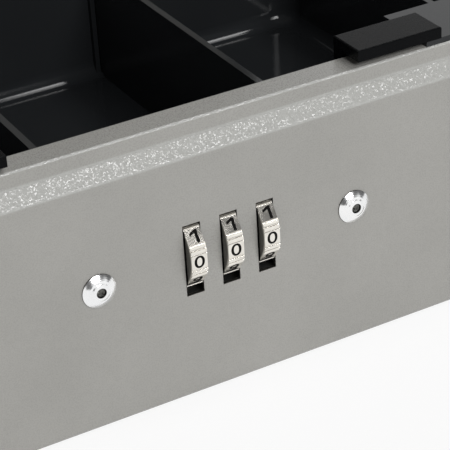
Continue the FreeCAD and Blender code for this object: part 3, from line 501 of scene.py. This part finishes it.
def finish_nodes():
    """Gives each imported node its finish, and hands on those that more pieces share."""
    paint = coat_material("grey_enamel")
    zinc = metal_material("zinc_plate")
    gloss = coat_material("black_moulding")
    steel = metal_material("lock_steel")
    brass = metal_material("turned_brass")
    paint_nodes(box_paint(), "box_body")
    paint_nodes(paint, "lid_shell", "lid_striker")
    for stem in ("hinge_body_leaf", "hinge_lid_leaf", "hinge_pin", "handle_bracket"):
        paint_nodes(zinc, *both(stem))
    paint_nodes(metal_material("bright_rod"), "lid_handle")
    paint_nodes(gloss, "coin_tray", *both("coin_divider"))
    paint_nodes(coat_material("black_satin"), *both("tray_tab"))
    paint_nodes(steel, "lock_case", "dial_spindle", "detent_spring", "lock_bolt", "bolt_spring")
    paint_nodes(rivet_material(), "lock_rivets")
    for side in DIALS:
        name = f"dial_{side}"
        low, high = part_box(name)
        radius = (high[2] - low[2]) / 2
        paint_nodes(dial_material(f"plated_{name}", node_middle(name), radius), name)
        paint_nodes(brass, f"dial_cam_{side}")
    return paint, zinc


def new_piece(name, mesh, body):
    """A finished mesh as a piece that moves with a body."""
    piece = bpy.data.objects.new(name, mesh)
    bpy.context.scene.collection.objects.link(piece)
    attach(piece, body)


def one_mesh():
    """The number one with a flag, which the built-in letters draw as a plain bar."""
    mesh = bpy.data.meshes.new("one")
    mesh.from_pydata([(x, y, 0.0) for x, y in ONE_OUTLINE], [], [range(len(ONE_OUTLINE))])
    return mesh


def text_mesh(words):
    """A flat text as a mesh."""
    curve = bpy.data.curves.new("number", "FONT")
    curve.body = words
    curve.align_x = "CENTER"
    curve.align_y = "CENTER"
    curve.offset = DIGIT_STROKE
    curve.resolution_u = TEXT_STEPS
    thing = bpy.data.objects.new("number", curve)
    bpy.context.scene.collection.objects.link(thing)
    bpy.context.view_layer.update()
    mesh = bpy.data.meshes.new_from_object(thing.evaluated_get(bpy.context.evaluated_depsgraph_get()))
    bpy.data.objects.remove(thing)
    return mesh


def dial_numbers(side, ink):
    """The ten numbers of one dial, each on its facet."""
    name = f"dial_{side}"
    low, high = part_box(name)
    middle = node_middle(name)
    reach = (high[2] - low[2]) / 2 - FACET_DEPTH + DIGIT_PROUD
    joined = bmesh.new()
    for digit in range(DIGITS):
        flat = one_mesh() if digit == 1 else text_mesh(str(digit))
        xs = [v.co.x for v in flat.vertices]
        ys = [v.co.y for v in flat.vertices]
        centre = Vector(((min(xs) + max(xs)) / 2, (min(ys) + max(ys)) / 2, 0.0))
        height = DIGIT_HEIGHT / (max(ys) - min(ys))
        turn = Matrix.Rotation(-digit * math.tau / DIGITS, 4, "X")
        stand = Matrix.Rotation(math.pi / 2, 4, "X")
        place = Matrix.Translation(middle) @ turn @ Matrix.Translation((0.0, -reach, 0.0)) @ stand
        shrink = Matrix.Diagonal((height * DIGIT_SPREAD, height, height, 1.0))
        flat.transform(place @ shrink @ Matrix.Translation(-centre))
        joined.from_mesh(flat)
        bpy.data.meshes.remove(flat)
    mesh = bpy.data.meshes.new(f"numbers_{side}")
    joined.to_mesh(mesh)
    joined.free()
    mesh.materials.append(ink)
    new_piece(f"numbers_{side}", mesh, f"{side}_dial")


def rivet_stems(steel):
    """Broken-off stems left in the bores of the two rivets."""
    low, high = (Vector(corner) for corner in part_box("lock_rivets"))
    head = (high.z - low.z) / 2
    joined = bmesh.new()
    for x in (low.x + head, high.x - head):
        rings = []
        for radius, depth in STEM_PROFILE:
            ring = []
            for step in range(STEM_SIDES):
                turn = math.tau * step / STEM_SIDES
                spot = Vector((x, low.y + depth, low.z + head))
                spot += radius * Vector((math.cos(turn), 0.0, math.sin(turn)))
                if radius < STEM_PROFILE[0][0]:
                    spot.y += STEM_ROUGH * noise_at(spot / STEM_GRAIN)
                ring.append(joined.verts.new(spot))
            rings.append(ring)
        for outer, inner in zip(rings, rings[1:]):
            for i in range(STEM_SIDES):
                after = (i + 1) % STEM_SIDES
                joined.faces.new((outer[i], outer[after], inner[after], inner[i]))
        joined.faces.new(rings[-1])
        joined.faces.new(rings[0][::-1])
    bmesh.ops.recalc_face_normals(joined, faces=joined.faces)
    mesh = bpy.data.meshes.new("rivet_stems")
    joined.to_mesh(mesh)
    joined.free()
    mesh.materials.append(steel)
    new_piece("rivet_stems", mesh, "box")


def spot_tree():
    """Geometry nodes for spot welds: at each point a disc in a low ring, turned the way it faces."""
    tree = bpy.data.node_groups.new("spot_welds", "GeometryNodeTree")
    tree.interface.new_socket("Points", in_out="INPUT", socket_type="NodeSocketGeometry")
    for label in ("Spot Radius", "Ring Radius"):
        tree.interface.new_socket(label, in_out="INPUT", socket_type="NodeSocketFloat")
    tree.interface.new_socket("Finish", in_out="INPUT", socket_type="NodeSocketMaterial")
    tree.interface.new_socket("Welds", in_out="OUTPUT", socket_type="NodeSocketGeometry")
    given = tree.nodes.new("NodeGroupInput").outputs
    result = tree.nodes.new("NodeGroupOutput").inputs
    loop = add(tree, "GeometryNodeCurvePrimitiveCircle",
               {"Resolution": SPOT_SIDES, "Radius": given["Spot Radius"]})
    bead = add(tree, "GeometryNodeCurvePrimitiveCircle",
               {"Resolution": BEAD_SIDES, "Radius": given["Ring Radius"]})
    raised = add(tree, "GeometryNodeCurveToMesh",
                 {"Curve": loop.outputs["Curve"], "Profile Curve": bead.outputs["Curve"]})
    disc = add(tree, "GeometryNodeMeshCircle",
               {"Vertices": SPOT_SIDES, "Radius": given["Spot Radius"]}, fill_type="NGON")
    rise = math_node(tree, "MULTIPLY", given["Ring Radius"], SPOT_LIFT)
    lift = add(tree, "ShaderNodeCombineXYZ", {"Z": rise})
    lifted = add(tree, "GeometryNodeTransform",
                 {"Geometry": disc.outputs["Mesh"], "Translation": lift.outputs["Vector"]})
    weld = tree.nodes.new("GeometryNodeJoinGeometry")
    for part in (raised.outputs["Mesh"], lifted.outputs["Geometry"]):
        tree.links.new(part, weld.inputs["Geometry"])
    facing = add(tree, "GeometryNodeInputNamedAttribute", {"Name": "facing"}, data_type="FLOAT_VECTOR")
    turned = add(tree, "FunctionNodeAlignRotationToVector",
                 {"Vector": facing.outputs["Attribute"]}, axis="Z")
    spots = add(tree, "GeometryNodeInstanceOnPoints",
                {"Points": given["Points"], "Instance": weld.outputs["Geometry"],
                 "Rotation": turned.outputs["Rotation"]})
    solid = add(tree, "GeometryNodeRealizeInstances", {"Geometry": spots.outputs["Instances"]})
    smooth = add(tree, "GeometryNodeSetShadeSmooth", {"Geometry": solid.outputs["Geometry"]})
    dressed = add(tree, "GeometryNodeSetMaterial",
                  {"Geometry": smooth.outputs["Geometry"], "Material": given["Finish"]})
    tree.links.new(dressed.outputs["Geometry"], result["Welds"])
    return tree


def spot_welds(tree, name, body, finish, spots):
    """Spot welds of one body, each given by its middle and the way it faces."""
    points = bpy.data.meshes.new(name)
    points.from_pydata([spot for spot, facing in spots], [], [])
    store = points.attributes.new("facing", "FLOAT_VECTOR", "POINT")
    for row, (spot, facing) in zip(store.data, spots):
        row.vector = facing
    carrier = bpy.data.objects.new(name, points)
    bpy.context.scene.collection.objects.link(carrier)
    modifier = carrier.modifiers.new("welds", "NODES")
    modifier.node_group = tree
    values = {"Spot Radius": SPOT_RADIUS, "Ring Radius": SPOT_RING, "Finish": finish}
    for item in tree.interface.items_tree:
        if item.name in values:
            modifier[item.identifier] = values[item.name]
    bpy.context.view_layer.update()
    made = bpy.data.meshes.new_from_object(carrier.evaluated_get(bpy.context.evaluated_depsgraph_get()))
    bpy.data.objects.remove(carrier)
    new_piece(name, made, body)


def weld_pieces(zinc, paint):
    """Spot welds that hold the hinge leaves, the handle's brackets and the striker."""
    tree = spot_tree()
    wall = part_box("box_body")[1][1]
    on_box, on_lid, on_striker = [], [], []
    for side in ("left", "right"):
        low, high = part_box(f"hinge_lid_leaf_{side}")
        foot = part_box(f"hinge_body_leaf_{side}")[0][2]
        for step in (-1, 0, 1):
            x = (low[0] + high[0]) / 2 + step * LEAF_SPOT_PITCH
            on_box.append(((x, wall + LEAF_SHEET, foot + LEAF_SPOT_EDGE), (0.0, 1.0, 0.0)))
            on_lid.append(((x, high[1] - LEAF_SPOT_EDGE, high[2] - LEAF_SHEET), (0.0, 0.0, -1.0)))
        low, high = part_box(f"handle_bracket_{side}")
        x = low[0] + BRACKET_SPOT_EDGE if side == "left" else high[0] - BRACKET_SPOT_EDGE
        on_lid.append(((x, low[1] + BRACKET_FOOT, (low[2] + high[2]) / 2), (0.0, 1.0, 0.0)))
    low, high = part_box("lid_striker")
    for share in STRIKER_SPOTS:
        x = low[0] + share * (high[0] - low[0])
        on_striker.append(((x, high[1] - LEAF_SPOT_EDGE, high[2] - LEAF_SHEET), (0.0, 0.0, -1.0)))
    spot_welds(tree, "box_welds", "box", zinc, on_box)
    spot_welds(tree, "lid_welds", "lid", zinc, on_lid)
    spot_welds(tree, "striker_welds", "lid", paint, on_striker)


def stage_material():
    """Pale floor that the camera and glossy surfaces see as white, with the object's shadow kept."""
    material, tree, shader = new_material("pale_floor")
    shader.inputs["Base Color"].default_value = FLOOR_TONE
    shader.inputs["Roughness"].default_value = FLOOR_ROUGHNESS
    path = add(tree, "ShaderNodeLightPath").outputs
    mirrored = math_node(tree, "MAXIMUM", path["Is Glossy Ray"], path["Is Transmission Ray"])
    seen = math_node(tree, "MAXIMUM", path["Is Camera Ray"], mirrored)
    shown = math_node(tree, "MULTIPLY", seen, FLOOR_GLOW)
    glow = add(tree, "ShaderNodeEmission", {"Color": WHITE, "Strength": 1.0})
    mixed = add(tree, "ShaderNodeMixShader", {0: shown, 1: shader.outputs[0], 2: glow.outputs[0]})
    out = next(n for n in tree.nodes if n.type == "OUTPUT_MATERIAL")
    tree.links.new(mixed.outputs[0], out.inputs["Surface"])
    return material


def floor():
    mesh = bpy.data.meshes.new("floor")
    corners = [(-1, -1), (1, -1), (1, 1), (-1, 1)]
    mesh.from_pydata([(x * FLOOR_HALF, y * FLOOR_HALF, 0.0) for x, y in corners], [], [(0, 1, 2, 3)])
    mesh.materials.append(stage_material())
    plane = bpy.data.objects.new("floor", mesh)
    bpy.context.scene.collection.objects.link(plane)


def lamp(name, turn, tilt, distance, width, height, power):
    """Soft box aimed at the lock from a direction given in degrees: turn to the right, tilt upwards."""
    across, up = math.radians(turn), math.radians(tilt)
    away = Vector((math.sin(across) * math.cos(up), -math.cos(across) * math.cos(up), math.sin(up)))
    light = bpy.data.lights.new(name, "AREA")
    light.shape = "RECTANGLE"
    light.size = width
    light.size_y = height
    light.energy = power
    thing = bpy.data.objects.new(name, light)
    thing.location = LAMP_AIM + away * distance
    thing.rotation_euler = away.to_track_quat("Z", "Y").to_euler()
    bpy.context.scene.collection.objects.link(thing)


def studio():
    scene = bpy.context.scene
    scene.view_settings.view_transform = "Standard"
    world = bpy.data.worlds.new("studio")
    scene.world = world
    world.use_nodes = True
    tree = world.node_tree
    shade = next(n for n in tree.nodes if n.type == "BACKGROUND")
    shade.inputs["Color"].default_value = WHITE
    ray = add(tree, "ShaderNodeTexCoord").outputs["Generated"]
    parts = add(tree, "ShaderNodeSeparateXYZ", {0: ray}).outputs
    level = add(tree, "ShaderNodeCombineXYZ", {"X": parts["X"], "Y": parts["Y"]}).outputs["Vector"]
    heading = vector_node(tree, "NORMALIZE", level)["Vector"]
    horizon = span(tree, parts["Z"], *HORIZON_BAND, 1.0, 0.0)
    mirrored = span(tree, parts["Z"], *MIRRORED_BAND, 1.0, 0.0)
    for gap in GAPS:
        turn, wide, narrow = (math.radians(angle) for angle in gap)
        near = vector_node(tree, "DOT_PRODUCT", heading, (math.sin(turn), -math.cos(turn), 0.0))["Value"]
        open_share = span(tree, near, math.cos(wide), math.cos(narrow), 1.0, 0.0)
        mirrored = math_node(tree, "MULTIPLY", mirrored, open_share)
    backdrop = math_node(tree, "MULTIPLY", span(tree, parts["Y"], *BACKDROP_SIDE, 0.0, BACKDROP_LIGHT),
                         span(tree, parts["Z"], *BACKDROP_BAND, 1.0, 0.0))
    glossy = math_node(tree, "MAXIMUM", math_node(tree, "MAXIMUM", mirrored, backdrop), MIRRORED_CEILING)
    plain = span(tree, horizon, 0.0, 1.0, CEILING_LIGHT, HORIZON_LIGHT)
    path = add(tree, "ShaderNodeLightPath").outputs
    seen = math_node(tree, "MAXIMUM", path["Is Glossy Ray"], path["Is Transmission Ray"])
    strength = math_node(tree, "ADD", math_node(tree, "MULTIPLY", glossy, seen),
                         math_node(tree, "MULTIPLY", plain, math_node(tree, "SUBTRACT", 1.0, seen)))
    tree.links.new(math_node(tree, "MAXIMUM", strength, path["Is Camera Ray"]), shade.inputs["Strength"])
    for name, settings in LAMPS.items():
        lamp(name, **settings)


def camera():
    turn, tilt, roll = (math.radians(v) for v in (CAMERA_TURN, CAMERA_TILT, CAMERA_ROLL))
    lens = bpy.data.cameras.new("photo_camera")
    lens.sensor_width = SENSOR
    lens.lens = FOCAL_PIXELS / PICTURE * SENSOR
    lens.clip_start = CLIP_START
    eye = bpy.data.objects.new("photo_camera", lens)
    looking = Euler((math.pi / 2 - tilt, 0.0, -turn)).to_matrix().to_4x4() @ Matrix.Rotation(roll, 4, "Z")
    eye.matrix_world = Matrix.Translation(CAMERA_PLACE) @ looking
    bpy.context.scene.collection.objects.link(eye)
    bpy.context.scene.camera = eye


def main():
    paint, zinc = finish_nodes()
    rivet_stems(metal_material("stem_steel"))
    weld_pieces(zinc, paint)
    ink = coat_material("dial_ink")
    for side in DIALS:
        dial_numbers(side, ink)
    floor()
    studio()
    camera()


main()
